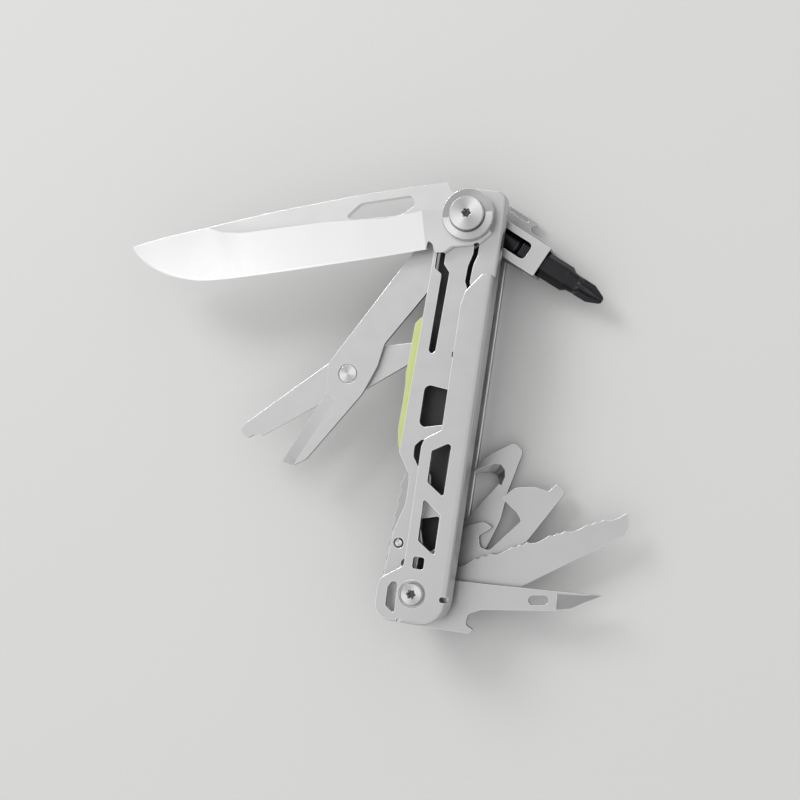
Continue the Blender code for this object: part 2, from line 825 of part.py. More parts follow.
def scissors():
    """Scissors: the front blade's arm turns on the upper axle, the rear blade on the rivet."""
    rivet = RIVET_AT
    arm = filleted(
        [
            (0.0, -6.4, 3.0),
            (15.0, -6.8),
            (rivet + 1.3, -5.8, 2.0),
            (rivet + 5.8, -2.6, 1.5),
            (rivet + 7.1, -1.5, 0.5),
            (rivet + 29.0, 0.9, 0.3),
            (rivet + 27.9, 3.9, 1.4),
            (rivet + 24.3, 5.7, 4.0),
            (rivet + 1.4, 6.4, 6.0),
            (rivet - 6.5, 4.9, 4.0),
            (rivet - 12.1, 2.6, 4.0),
            (20.5, 2.9, 1.5),
            (17.0, 0.6, 1.5),
            (13.5, -1.6, 2.0),
            (9.5, -1.6, 2.0),
            (6.5, 5.2, 2.0),
            (0.0, 6.4, 3.0),
            (-5.5, 3.6, 3.0),
            (-6.3, 0.0, 3.0),
            (-5.5, -3.6, 3.0),
        ]
    )
    low, high = SPAN["scissor_front"]
    holes = [circle(0, 0, AXLE_HOLE_R), circle(RIVET_AT, 0, RIVET_R + PLAY)]
    front = plate("scissors_front_blade", "scissor_front", arm, holes, "satin_steel", UPPER, SCISSOR_ANGLE)
    seat = circle(RIVET_AT, 0, RIVET_HEAD_R + PLAY, 32)
    cut_prism(front, "rivet_seat_front", seat, high - RIVET_HEAD - PLAY, TALL)
    rows = [
        [(rivet + 7.2, 1.8, 0.0), (rivet + 7.8, -1.5, 0.8)],
        [(rivet + 25.9, 3.8, 0.0), (rivet + 26.2, 0.6, 0.8)],
        [(rivet + 29.9, 4.6, 0.0), (rivet + 29.5, 0.9, 0.8)],
    ]
    grind(front, "scissors_front_grind", rows, high, 1)
    recess = leaf_outline(LEAF_GAP)
    cut_prism(front, "leaf_recess", recess, low - 3.0, low + LEAF_INSET + LEAF_SPRING + LEAF_GAP)
    levels = [
        (low + LEAF_INSET, leaf_outline(0.0)),
        (low + LEAF_INSET + LEAF_SPRING, leaf_outline(0.0)),
    ]
    solid("scissors_spring", levels, (), "turned_steel", UPPER, SCISSOR_ANGLE)

    c = math.cos(math.radians(SCISSOR_ANGLE))
    s = math.sin(math.radians(SCISSOR_ANGLE))
    rivet_at = (UPPER[0] + RIVET_AT * c, UPPER[1] + RIVET_AT * s)
    tail = filleted(
        [
            (2.0, -5.4, 2.5),
            (31.2, -1.5, 1.0),
            (33.3, -0.6, 0.9),
            (32.9, 2.2, 0.9),
            (30.4, 2.3, 0.5),
            (29.2, 2.8, 0.5),
            (28.7, 3.7, 0.3),
            (5.0, 3.2),
            (0.5, 5.6, 2.0),
            (-14.5, 5.0),
            (-20.0, 4.6, 1.5),
            (-20.0, 1.0, 1.5),
            (-11.7, -2.2, 3.0),
            (-4.0, -4.4, 3.0),
        ]
    )
    angle = SCISSOR_ANGLE + SCISSOR_SPREAD
    hole = circle(0, 0, RIVET_R + PLAY)
    rear = plate("scissors_rear_blade", "scissor_rear", tail, [hole], "satin_steel", rivet_at, angle)
    rear_low = SPAN["scissor_rear"][0]
    seat = circle(0, 0, RIVET_HEAD_R + PLAY, 32)
    cut_prism(rear, "rivet_seat_rear", seat, -3.0, rear_low + RIVET_HEAD + PLAY)
    rows = [
        [(8.0, 1.2, 0.0), (8.0, 3.3, 0.7)],
        [(29.4, 1.4, 0.0), (29.4, 3.9, 0.7)],
    ]
    grind(rear, "scissors_rear_grind", rows, rear_low, -1)

    wide = circle(0, 0, RIVET_HEAD_R, 32)
    slim = circle(0, 0, RIVET_R, 32)
    levels = [
        (rear_low, wide),
        (rear_low + RIVET_HEAD, wide),
        (rear_low + RIVET_HEAD + 0.001, slim),
        (high - RIVET_HEAD, slim),
        (high - RIVET_HEAD + 0.001, wide),
        (high, wide),
    ]
    solid("scissors_rivet", levels, finish="turned_steel", at=rivet_at)


# ---- driver ----


def driver_arm():
    """Driver arm: a box channel with a window in front and a hooked plate behind."""
    low, high = SPAN["hook"][0], SPAN["awl"][1]
    half = BIT_CORNERS / 2 + BIT_GAP
    top = BIT_OFFSET + half + ARM_WALL
    bottom = BIT_OFFSET - half - ARM_WALL
    outline = filleted(
        [
            (3.0, 9.0, 2.5),
            (-3.4, 4.9, 3.0),
            (-4.6, 0.5, 3.0),
            (-3.4, bottom - 0.2, 3.0),
            (16.6, bottom - 0.2, 0.8),
            (18.2, bottom, 0.5),
            (ARM_LENGTH, bottom, 0.3),
            (ARM_LENGTH, top, 0.6),
            (18.6, 5.6, 0.8),
            (12.2, 6.0, 0.5),
            (11.3, 6.7, 0.4),
            (11.7, 7.7, 0.4),
            (12.9, 8.4, 0.4),
            (12.1, 9.0, 0.6),
        ]
    )
    slit = slot(4.5, 8.0, 9.6, 8.0, 0.35)
    holes = [circle(0, 0, AXLE_HOLE_R), slit]
    obj = solid(
        "driver_arm", [(low, outline), (high, outline)], holes, "satin_steel", UPPER, DRIVER_ANGLE
    )
    above = [(-20, top), (40, top), (40, 30), (-20, 30)]
    below = [(-20, -30), (40, -30), (40, bottom), (-20, bottom)]
    shelf = low + ARM_PLATE
    cut_prism(obj, "arm_above", above, shelf, TALL)
    cut_prism(obj, "arm_below", below, shelf, TALL)
    inner_top = top - ARM_WALL
    inner_bottom = bottom + ARM_WALL
    channel = [(-20, inner_bottom), (40, inner_bottom), (40, inner_top), (-20, inner_top)]
    cut_prism(obj, "arm_channel", channel, shelf, high - ARM_PLATE)
    window = filleted(
        [(5.5, -1.7, 1.0), (16.1, -1.7, 1.2), (16.1, 3.0, 1.2), (5.5, 3.0, 1.0)]
    )
    cut_prism(obj, "arm_window", window, high - ARM_PLATE - 1.5, TALL)


def turned_solid(name, stations, shape, finish):
    """A solid along the driver arm's axis: shape(station) gives each ring around that axis."""
    centre = (SPAN["hook"][0] + SPAN["awl"][1]) / 2
    rings = []
    for station in stations:
        section = shape(station)
        rings.append([(station[0], BIT_OFFSET + a, centre + b) for a, b in section])
    return loft(name, rings, finish, UPPER, DRIVER_ANGLE)


def bit_socket():
    """Black magnetic stop behind the bit."""
    radius = 3.1
    start = BARREL_R + 2.4
    end = BIT_START - PLAY
    stations = [
        (start, radius - 0.3),
        (start + 0.3, radius),
        (end - 0.7, radius),
        (end, radius - 0.6),
    ]
    turned_solid("bit_socket", stations, lambda s: circle(0, 0, s[1], 24), "black_steel")


def bit_section(station):
    """Section of the bit: a rounded hexagon, a round neck, or a cross that narrows to the tip."""
    _, kind, size = station
    points = []
    for k in range(48):
        a = 2 * math.pi * k / 48
        if kind == "hex":
            off = (a + math.pi / 6) % (math.pi / 3) - math.pi / 6
            radius = min(size / 2 / math.cos(off), BIT_CORNERS / 2)
        elif kind == "round":
            radius = size
        else:
            radius = size * (0.55 + 0.45 * abs(math.cos(2 * a)) ** 3)
        # The flat of the hexagon faces the front.
        points.append((radius * math.sin(a), radius * math.cos(a)))
    return points


def driver_bit():
    """Cross-head bit with a hexagonal shank."""
    tip = BIT_START + BIT_LENGTH
    shank_end = BIT_START + 14.2
    stations = [
        (BIT_START, "hex", BIT_FLATS - 0.8),
        (BIT_START + 0.4, "hex", BIT_FLATS),
        (shank_end, "hex", BIT_FLATS),
        (shank_end + 1.3, "round", 2.6),
        (shank_end + 3.2, "round", 2.45),
        (shank_end + 4.2, "cross", 2.5),
        (tip - 3.6, "cross", 2.45),
        (tip - 0.5, "cross", 1.1),
        (tip, "cross", 0.6),
    ]
    turned_solid("driver_bit", stations, bit_section, "black_steel")


# ---- lower tools ----

TANG_R = 5.6
SERRATION_START = 9.2  # lower axle to the first tooth
SERRATION_END = 55.9
LONG_SCALLOP = (6.1, 0.75, 6)  # width, depth, and straight runs that it is drawn with
SHORT_SCALLOP = (2.0, 0.4, 3)
SAW_EDGE = 3.9  # height of the tooth line at the axle
SAW_BOW = 0.0004  # how fast the tooth line falls away


def awl():
    """Awl with an eye, and a bottle opener cut into its lower edge."""
    outline = filleted(
        [
            (8.0, 3.2, 3.0),
            (17.7, 2.5),
            (33.2, 1.7),
            (46.0, 1.0, 0.15),
            (41.3, -1.0),
            (38.1, -2.6, 2.0),
            (33.3, -3.3, 3.0),
            (15.4, -3.9, 2.0),
            (12.0, -5.2, 1.6),
            (11.5, -7.9, 1.0),
            (13.4, -9.0, 0.3),
            (12.5, -10.0, 0.5),
            (-0.4, -8.8, 1.2),
            (-3.6, -6.0, 2.0),
            (-TANG_R, -1.5, 3.0),
            (-4.6, 3.6, 3.0),
            (1.0, 5.6, 4.0),
        ]
    )
    eye = slot(28.6, -0.9, 31.4, -0.7, 1.2)
    holes = [circle(0, 0, AXLE_HOLE_R), eye]
    obj = plate("awl_bottle_opener", "awl", outline, holes, "satin_steel", LOWER, AWL_ANGLE)
    rows = [
        [(34.6, 1.0, 0.0), (34.4, -3.1, 1.1)],
        [(38.5, 0.9, 0.0), (38.1, -2.6, 0.95)],
        [(42.0, 0.9, 0.0), (41.3, -1.0, 0.55)],
        [(46.6, 1.4, 0.0), (46.2, 0.9, 0.15)],
    ]
    grind(obj, "awl_grind", rows, SPAN["awl"][1], 1)


def serrated_edge():
    """Serrated edge: a long scallop and two short ones, repeated, and a last long one at the tip."""
    points = []
    at = SERRATION_START
    while at < SERRATION_END - 1.0:
        for width, sink, steps in (LONG_SCALLOP, SHORT_SCALLOP, SHORT_SCALLOP):
            if at > SERRATION_END - 1.0:
                break
            width = min(width, SERRATION_END - at)
            for j in range(steps):
                x = at + width * j / steps
                # A long scallop is deepest just after its first tooth.
                y = SAW_EDGE - SAW_BOW * x * x - sink * math.sin(math.pi * (j / steps) ** 0.7)
                points.append((x, y))
            at += width
    return points


def serrated_blade():
    """Serrated blade; its teeth are on the +Y side, ground from the rear."""
    body = filleted(
        [
            (7.0, 4.1, 2.0),
            (0.5, 5.6, 4.0),
            (-4.6, 3.6, 3.0),
            (-TANG_R, -1.5, 3.0),
            (-2.5, -5.4, 3.0),
            (14.0, -6.9, 8.0),
            (24.7, -6.5, 10.0),
            (SERRATION_END - 3.3, -2.4, 1.5),
            (SERRATION_END - 1.3, -0.6, 1.5),
            (SERRATION_END, 2.6, 0.3),
        ]
    )
    outline = body + serrated_edge()[::-1]
    obj = plate(
        "serrated_blade", "saw", outline, [circle(0, 0, AXLE_HOLE_R)], "satin_steel", LOWER, SAW_ANGLE
    )
    rows = [
        [(8.6, 1.4, 0.0), (8.6, 4.0, 0.9)],
        [(SERRATION_END + 0.6, 0.6, 0.0), (SERRATION_END + 0.6, 2.8, 0.9)],
    ]
    grind(obj, "saw_grind", rows, SPAN["saw"][0], -1)


def can_opener():
    """Can opener: a hooked catch near the body and a cutting lip that is ground from the rear."""
    outline = filleted(
        [
            (23.6, 3.6, 0.3),
            (22.6, 6.2, 2.5),
            (18.0, 7.8, 4.0),
            (6.0, 6.6, 3.0),
            (-2.0, 5.4, 4.0),
            (-TANG_R, 0.5, 4.0),
            (-3.0, -5.2, 4.0),
            (14.0, -7.0, 6.0),
            (28.4, -4.5, 8.0),
            (44.3, 0.3, 0.6),
            (43.7, 3.2, 0.5),
            (40.8, 2.9, 0.8),
            (38.6, 5.9, 4.0),
            (34.2, 8.7, 3.5),
            (30.0, 8.2, 0.3),
            (31.1, 3.0, 1.0),
            (30.8, 0.7, 0.8),
            (19.6, -0.8, 1.4),
            (17.9, 1.2, 1.4),
            (19.4, 3.9, 1.0),
        ]
    )
    obj = plate(
        "can_opener", "can", outline, [circle(0, 0, AXLE_HOLE_R)], "satin_steel", LOWER, CAN_ANGLE
    )
    rows = [
        [(28.8, 6.4, 0.0), (29.2, 8.9, 0.9)],
        [(33.6, 6.3, 0.0), (34.4, 8.7, 0.9)],
        [(37.0, 4.2, 0.0), (38.8, 6.0, 0.9)],
        [(39.2, 1.6, 0.0), (41.2, 3.2, 0.9)],
    ]
    grind(obj, "can_grind", rows, SPAN["can"][0], -1)


def strap_hook():
    """Strap hook: a curved hook with a ground inner edge."""
    outline = filleted(
        [
            (31.4, 7.2, 0.2),
            (36.6, 7.3, 5.0),
            (44.4, 2.8, 1.8),
            (43.9, -0.4, 1.6),
            (33.0, -2.9, 8.0),
            (26.0, -5.4, 5.0),
            (18.0, -6.4, 6.0),
            (-2.5, -5.4, 4.0),
            (-TANG_R, 0.0, 4.0),
            (-2.5, 5.2, 4.0),
            (8.0, 5.0, 4.0),
            (22.2, 1.7, 10.0),
            (33.4, 0.1, 0.8),
            (34.9, 1.9, 1.4),
            (34.4, 4.5, 2.0),
        ]
    )
    obj = plate(
        "strap_hook", "hook", outline, [circle(0, 0, AXLE_HOLE_R)], "satin_steel", LOWER, HOOK_ANGLE
    )
    rows = [
        [(33.4, -0.7, 0.0), (33.3, 0.2, 0.9)],
        [(35.8, -0.2, 0.0), (34.3, 1.0, 0.9)],
        [(37.3, 0.9, 0.0), (34.8, 1.8, 0.9)],
        [(37.8, 2.5, 0.0), (34.8, 2.6, 0.9)],
        [(37.0, 4.1, 0.0), (34.4, 3.9, 0.9)],
        [(34.6, 5.9, 0.0), (33.6, 5.1, 0.9)],
        [(31.9, 7.5, 0.0), (31.5, 6.9, 0.6)],
    ]
    grind(obj, "hook_grind", rows, SPAN["hook"][1], 1)


def main():
    fresh_scene()
    make_materials()
    rear_cover()
    inner_liner()
    lock_plate()
    front_cover()
    thumb_grip_plate()
    grip_rivet()
    release_lever()
    hardware()
    main_blade()
    scissors()
    driver_arm()
    bit_socket()
    driver_bit()
    awl()
    serrated_blade()
    can_opener()
    strap_hook()


main()
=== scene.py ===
import math

import bpy
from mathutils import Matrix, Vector


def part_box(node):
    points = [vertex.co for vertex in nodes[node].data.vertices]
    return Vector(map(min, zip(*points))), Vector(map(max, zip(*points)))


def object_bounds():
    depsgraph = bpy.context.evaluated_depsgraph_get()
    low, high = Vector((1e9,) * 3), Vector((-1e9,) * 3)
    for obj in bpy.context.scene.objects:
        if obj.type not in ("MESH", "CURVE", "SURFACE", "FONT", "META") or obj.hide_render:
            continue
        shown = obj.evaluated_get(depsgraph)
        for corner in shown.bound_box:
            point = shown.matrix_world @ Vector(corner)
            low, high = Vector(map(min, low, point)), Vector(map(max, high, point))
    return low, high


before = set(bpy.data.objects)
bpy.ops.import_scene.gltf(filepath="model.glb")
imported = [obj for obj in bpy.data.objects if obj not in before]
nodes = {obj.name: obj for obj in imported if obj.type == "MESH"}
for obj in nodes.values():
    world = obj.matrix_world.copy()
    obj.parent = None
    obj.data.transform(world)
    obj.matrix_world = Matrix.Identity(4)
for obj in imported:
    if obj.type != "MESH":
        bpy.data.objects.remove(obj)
cadBox = [list(corner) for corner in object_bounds()]
mm = 0.001
print("frame: %d nodes" % len(nodes))


# Small helpers for building shader trees


def addNode(tree, kind, **settings):
    made = tree.nodes.new(kind)
    for name, value in settings.items():
        if name.startswith("in_"):
            made.inputs[name[3:].replace("_", " ")].default_value = value
        else:
            setattr(made, name, value)
    return made


def join(tree, source, output, target, socket):
    tree.links.new(source.outputs[output], target.inputs[socket])


def newGroup(name, inputs, outputs):
    group = bpy.data.node_groups.new(name, "ShaderNodeTree")
    for label, kind, value in inputs:
        socket = group.interface.new_socket(label, in_out="INPUT", socket_type=kind)
        socket.default_value = value
    for label, kind in outputs:
        group.interface.new_socket(label, in_out="OUTPUT", socket_type=kind)
    return group, group.nodes.new("NodeGroupInput"), group.nodes.new("NodeGroupOutput")


def placeGroup(tree, group, **values):
    made = tree.nodes.new("ShaderNodeGroup")
    made.node_tree = group
    for label, value in values.items():
        made.inputs[label.replace("_", " ")].default_value = value
    return made


# Effects shared by several finishes


def makeBlastGroup():
    # even, sandy surface left by bead blasting
    group, ins, outs = newGroup(
        "beadBlast",
        [("Grain", "NodeSocketFloat", 9000.0), ("Mottle", "NodeSocketFloat", 260.0)],
        [("Height", "NodeSocketFloat"), ("Tone", "NodeSocketFloat")],
    )
    place = addNode(group, "ShaderNodeTexCoord")
    fine = addNode(group, "ShaderNodeTexNoise", in_Detail=2.0, in_Roughness=0.6)
    join(group, place, "Object", fine, "Vector")
    join(group, ins, "Grain", fine, "Scale")
    broad = addNode(group, "ShaderNodeTexNoise", in_Detail=4.0, in_Roughness=0.55)
    join(group, place, "Object", broad, "Vector")
    join(group, ins, "Mottle", broad, "Scale")
    mix = addNode(group, "ShaderNodeMix", data_type="FLOAT")
    mix.inputs[0].default_value = 0.55
    group.links.new(fine.outputs["Fac"], mix.inputs[2])
    group.links.new(broad.outputs["Fac"], mix.inputs[3])
    join(group, fine, "Fac", outs, "Height")
    group.links.new(mix.outputs[0], outs.inputs["Tone"])
    return group


def makeBrushGroup():
    # straight satin lines that run along a direction in the XY plane
    group, ins, outs = newGroup(
        "satinLines",
        [
            ("Angle", "NodeSocketFloat", 0.0),
            ("Across", "NodeSocketFloat", 5000.0),
            ("Along", "NodeSocketFloat", 60.0),
        ],
        [("Height", "NodeSocketFloat"), ("Tone", "NodeSocketFloat")],
    )
    place = addNode(group, "ShaderNodeTexCoord")
    turn = addNode(group, "ShaderNodeVectorRotate", rotation_type="Z_AXIS")
    join(group, place, "Object", turn, "Vector")
    join(group, ins, "Angle", turn, "Angle")
    split = addNode(group, "ShaderNodeSeparateXYZ")
    join(group, turn, "Vector", split, "Vector")
    along = addNode(group, "ShaderNodeMath", operation="MULTIPLY")
    join(group, split, "X", along, 0)
    join(group, ins, "Along", along, 1)
    across = addNode(group, "ShaderNodeMath", operation="MULTIPLY")
    join(group, split, "Y", across, 0)
    join(group, ins, "Across", across, 1)
    down = addNode(group, "ShaderNodeMath", operation="MULTIPLY")
    join(group, split, "Z", down, 0)
    join(group, ins, "Across", down, 1)
    merge = addNode(group, "ShaderNodeCombineXYZ")
    join(group, along, 0, merge, "X")
    join(group, across, 0, merge, "Y")
    join(group, down, 0, merge, "Z")
    lines = addNode(group, "ShaderNodeTexNoise", in_Scale=1.0, in_Detail=3.0, in_Roughness=0.65)
    join(group, merge, "Vector", lines, "Vector")
    join(group, lines, "Fac", outs, "Height")
    join(group, lines, "Fac", outs, "Tone")
    return group


def makeTurnedGroup():
    # fine rings round a centre, as a lathe leaves them
    group, ins, outs = newGroup(
        "turnedRings",
        [
            ("Centre", "NodeSocketVector", (0, 0, 0)),
            ("Rings", "NodeSocketFloat", 9000.0),
            ("Turn", "NodeSocketFloat", 0.0),
        ],
        [
            ("Height", "NodeSocketFloat"),
            ("Tone", "NodeSocketFloat"),
            ("Fan", "NodeSocketFloat"),
            ("Reach", "NodeSocketFloat"),
        ],
    )
    place = addNode(group, "ShaderNodeTexCoord")
    shift = addNode(group, "ShaderNodeVectorMath", operation="SUBTRACT")
    join(group, place, "Object", shift, 0)
    join(group, ins, "Centre", shift, 1)
    flat = addNode(group, "ShaderNodeVectorMath", operation="MULTIPLY")
    join(group, shift, "Vector", flat, 0)
    flat.inputs[1].default_value = (1, 1, 0)
    reach = addNode(group, "ShaderNodeVectorMath", operation="LENGTH")
    join(group, flat, "Vector", reach, 0)
    scale = addNode(group, "ShaderNodeMath", operation="MULTIPLY")
    join(group, reach, "Value", scale, 0)
    join(group, ins, "Rings", scale, 1)
    rings = addNode(group, "ShaderNodeTexNoise", noise_dimensions="1D", in_Scale=1.0, in_Detail=2.0)
    join(group, scale, 0, rings, "W")
    join(group, rings, "Fac", outs, "Height")
    join(group, rings, "Fac", outs, "Tone")
    join(group, reach, "Value", outs, "Reach")
    # painted highlight and shade: the two soft fans of light that a faced disc shows
    split = addNode(group, "ShaderNodeSeparateXYZ")
    join(group, flat, "Vector", split, "Vector")
    angle = addNode(group, "ShaderNodeMath", operation="ARCTAN2")
    join(group, split, "Y", angle, 0)
    join(group, split, "X", angle, 1)
    shifted = addNode(group, "ShaderNodeMath", operation="ADD")
    join(group, angle, 0, shifted, 0)
    join(group, ins, "Turn", shifted, 1)
    double = addNode(group, "ShaderNodeMath", operation="MULTIPLY")
    join(group, shifted, 0, double, 0)
    double.inputs[1].default_value = 2.0
    wave = addNode(group, "ShaderNodeMath", operation="COSINE")
    join(group, double, 0, wave, 0)
    fan = addNode(group, "ShaderNodeMapRange", in_From_Min=-1.0, in_From_Max=0.6)
    join(group, wave, 0, fan, "Value")
    join(group, fan, "Result", outs, "Fan")
    return group


def makeHandlingGroup():
    # soft smudges from being carried
    group, ins, outs = newGroup(
        "handling",
        [("Smudge", "NodeSocketFloat", 90.0)],
        [("Mask", "NodeSocketFloat")],
    )
    place = addNode(group, "ShaderNodeTexCoord")
    cloud = addNode(group, "ShaderNodeTexNoise", in_Detail=5.0, in_Roughness=0.6, in_Distortion=0.6)
    join(group, place, "Object", cloud, "Vector")
    join(group, ins, "Smudge", cloud, "Scale")
    ramp = addNode(group, "ShaderNodeMapRange", in_From_Min=0.38, in_From_Max=0.7)
    join(group, cloud, "Fac", ramp, "Value")
    join(group, ramp, "Result", outs, "Mask")
    return group


def makeEdgeGroup():
    # rounds sharp edges in the shading, and marks them so that they can be painted brighter than the
    # faces
    group, ins, outs = newGroup(
        "softEdge",
        [
            ("Radius", "NodeSocketFloat", 0.0002),
            ("Wear", "NodeSocketFloat", 0.5),
        ],
        [("Normal", "NodeSocketVector"), ("Mask", "NodeSocketFloat")],
    )
    rounded = addNode(group, "ShaderNodeBevel", samples=6)
    join(group, ins, "Radius", rounded, "Radius")
    surface = addNode(group, "ShaderNodeNewGeometry")
    turn = addNode(group, "ShaderNodeVectorMath", operation="DOT_PRODUCT")
    join(group, rounded, "Normal", turn, 0)
    join(group, surface, "Normal", turn, 1)
    near = addNode(group, "ShaderNodeMapRange", in_From_Min=0.995, in_From_Max=0.96)
    group.links.new(turn.outputs["Value"], near.inputs["Value"])
    place = addNode(group, "ShaderNodeTexCoord")
    rub = addNode(group, "ShaderNodeTexNoise", in_Scale=420.0, in_Detail=3.0)
    join(group, place, "Object", rub, "Vector")
    patchy = addNode(group, "ShaderNodeMapRange", in_From_Min=0.3, in_From_Max=0.6)
    join(group, rub, "Fac", patchy, "Value")
    less = addNode(group, "ShaderNodeMath", operation="MULTIPLY")
    join(group, patchy, "Result", less, 0)
    join(group, ins, "Wear", less, 1)
    base = addNode(group, "ShaderNodeMath", operation="SUBTRACT")
    base.inputs[0].default_value = 1.0
    join(group, ins, "Wear", base, 1)
    share = addNode(group, "ShaderNodeMath", operation="ADD")
    join(group, base, 0, share, 0)
    join(group, less, 0, share, 1)
    mask = addNode(group, "ShaderNodeMath", operation="MULTIPLY")
    join(group, near, "Result", mask, 0)
    join(group, share, 0, mask, 1)
    # a normal halfway to the face's own keeps the rim turned towards the light
    halfway = addNode(group, "ShaderNodeVectorMath", operation="ADD")
    join(group, rounded, "Normal", halfway, 0)
    join(group, surface, "Normal", halfway, 1)
    unit = addNode(group, "ShaderNodeVectorMath", operation="NORMALIZE")
    join(group, halfway, "Vector", unit, 0)
    join(group, unit, "Vector", outs, "Normal")
    join(group, mask, 0, outs, "Mask")
    return group


beadBlast = makeBlastGroup()
satinLines = makeBrushGroup()
turnedRings = makeTurnedGroup()
handling = makeHandlingGroup()
softEdge = makeEdgeGroup()
print("effects: grain, lines, rings, handling marks and edges with painted highlight and wear")


# Finishes


def newMaterial(name, look):
    made = bpy.data.materials.new(name)
    made.use_nodes = True
    tree = made.node_tree
    shader = tree.nodes["Principled BSDF"]
    shader.inputs["Base Color"].default_value = (*look["colour"], 1)
    shader.inputs["Metallic"].default_value = look.get("metallic", 1.0)
    shader.inputs["Roughness"].default_value = look["roughness"]
    made.diffuse_color = (*look["colour"], 1)
    return made, tree, shader


def spread(tree, source, output, low, high, fromMin=0.3, fromMax=0.7):
    made = addNode(tree, "ShaderNodeMapRange", in_From_Min=fromMin, in_From_Max=fromMax)
    made.inputs["To Min"].default_value = low
    made.inputs["To Max"].default_value = high
    join(tree, source, output, made, "Value")
    return made


def blend(tree, source, output, first, second):
    # a colour between two others, each a plain colour or a node that puts one out
    mix = addNode(tree, "ShaderNodeMix", data_type="RGBA")
    for slot, value in ((6, first), (7, second)):
        if isinstance(value, tuple):
            mix.inputs[slot].default_value = (*value, 1)
        else:
            tree.links.new(value.outputs[2], mix.inputs[slot])
    tree.links.new(source.outputs[output], mix.inputs[0])
    return mix


def finishEdges(tree, shader, look, colour, rough, roughOut):
    # the last step of each metal: edges are brighter and smoother than the faces between them; on bright
    # steel the near-white rim colour is a painted highlight, patchy where worn, on coatings it is rubbed
    # wear
    edge = placeGroup(tree, softEdge, Radius=look["edge"], Wear=look["wear"])
    mixed = blend(tree, edge, "Mask", colour, look["edgeColour"])
    tree.links.new(mixed.outputs[2], shader.inputs["Base Color"])
    gloss = addNode(tree, "ShaderNodeMix", data_type="FLOAT")
    tree.links.new(edge.outputs["Mask"], gloss.inputs[0])
    tree.links.new(rough.outputs[roughOut], gloss.inputs[2])
    gloss.inputs[3].default_value = look["edgeRoughness"]
    tree.links.new(gloss.outputs[0], shader.inputs["Roughness"])
    return edge


def bump(tree, source, output, shader, depth, strength, edge):
    made = addNode(tree, "ShaderNodeBump", in_Strength=strength, in_Distance=depth)
    join(tree, source, output, made, "Height")
    join(tree, edge, "Normal", made, "Normal")
    join(tree, made, "Normal", shader, "Normal")


def addUp(tree, first, firstOut, second, secondOut, share):
    made = addNode(tree, "ShaderNodeMath", operation="MULTIPLY_ADD")
    join(tree, second, secondOut, made, 0)
    made.inputs[1].default_value = share
    join(tree, first, firstOut, made, 2)
    return made


def shaded(colour, factor):
    return tuple(min(1.0, value * factor) for value in colour)


def unevenTone(tree, look, source):
    # the finish's colour, a little darker and brighter from place to place
    darker, brighter = (shaded(look["colour"], factor) for factor in look["spread"])
    return blend(tree, source, "Tone", darker, brighter)


def unevenGloss(tree, look, source):
    # the finish's roughness, a little lower and higher from place to place
    less, more = look["uneven"]
    return spread(tree, source, "Tone", look["roughness"] - less, look["roughness"] + more)


def groundMask(tree):
    # 1 on level faces, 0 on ground faces, which tilt
    surface = addNode(tree, "ShaderNodeNewGeometry")
    split = addNode(tree, "ShaderNodeSeparateXYZ")
    join(tree, surface, "True Normal", split, "Vector")
    upright = addNode(tree, "ShaderNodeMath", operation="ABSOLUTE")
    join(tree, split, "Z", upright, 0)
    flats = addNode(tree, "ShaderNodeMapRange", in_From_Min=0.9994, in_From_Max=0.9999)
    join(tree, upright, 0, flats, "Value")
    return flats


def belowHeight(tree, height):
    # 1 below a height in the object's own coordinates, 0 above it
    place = addNode(tree, "ShaderNodeTexCoord")
    split = addNode(tree, "ShaderNodeSeparateXYZ")
    join(tree, place, "Object", split, "Vector")
    below = addNode(tree, "ShaderNodeMath", operation="LESS_THAN")
    join(tree, split, "Z", below, 0)
    below.inputs[1].default_value = height
    return below


def makeSheetMaterial(name, look):
    # blasted steel sheet, with faint smudges; ground faces can be darker, and a rear plate gets a darker
    # colour, painted shade
    made, tree, shader = newMaterial(name, look)
    blast = placeGroup(tree, beadBlast, Grain=look["grain"], Mottle=look["mottle"])
    marks = placeGroup(tree, handling)
    tone = unevenTone(tree, look, blast)
    if "ground" in look:
        flats = groundMask(tree)
        tone = blend(tree, flats, "Result", look["ground"], tone)
    # painted shade: below the height rearTop the colour turns darker
    if "rear" in look:
        level = belowHeight(tree, look["rearTop"])
        tone = blend(tree, level, 0, tone, look["rear"])
    rough = unevenGloss(tree, look, blast)
    worn = addUp(tree, rough, "Result", marks, "Mask", -look["smudge"])
    edge = finishEdges(tree, shader, look, tone, worn, 0)
    bump(tree, blast, "Height", shader, look["depth"], look["strength"], edge)
    return made


def makeBladeMaterial(name, look):
    # flats with faint lines across the blade; the ground faces, which tilt, are polished
    made, tree, shader = newMaterial(name, look)
    lines = placeGroup(tree, satinLines, Angle=look["angle"], Across=look["across"], Along=look["along"])
    marks = placeGroup(tree, handling)
    flats = groundMask(tree)
    tone = blend(tree, flats, "Result", look["polished"], look["colour"])
    streak = addNode(tree, "ShaderNodeMix", data_type="RGBA", blend_type="MULTIPLY")
    streak.inputs[0].default_value = 1.0
    shade = blend(tree, lines, "Tone", look["lines"], (1.0, 1.0, 1.0))
    tree.links.new(tone.outputs[2], streak.inputs[6])
    tree.links.new(shade.outputs[2], streak.inputs[7])
    rough = spread(tree, flats, "Result", look["polish"], look["roughness"], 0.0, 1.0)
    worn = addUp(tree, rough, "Result", marks, "Mask", look["smudge"])
    edge = finishEdges(tree, shader, look, streak, worn, 0)
    bump(tree, lines, "Height", shader, look["depth"], look["strength"], edge)
    return made


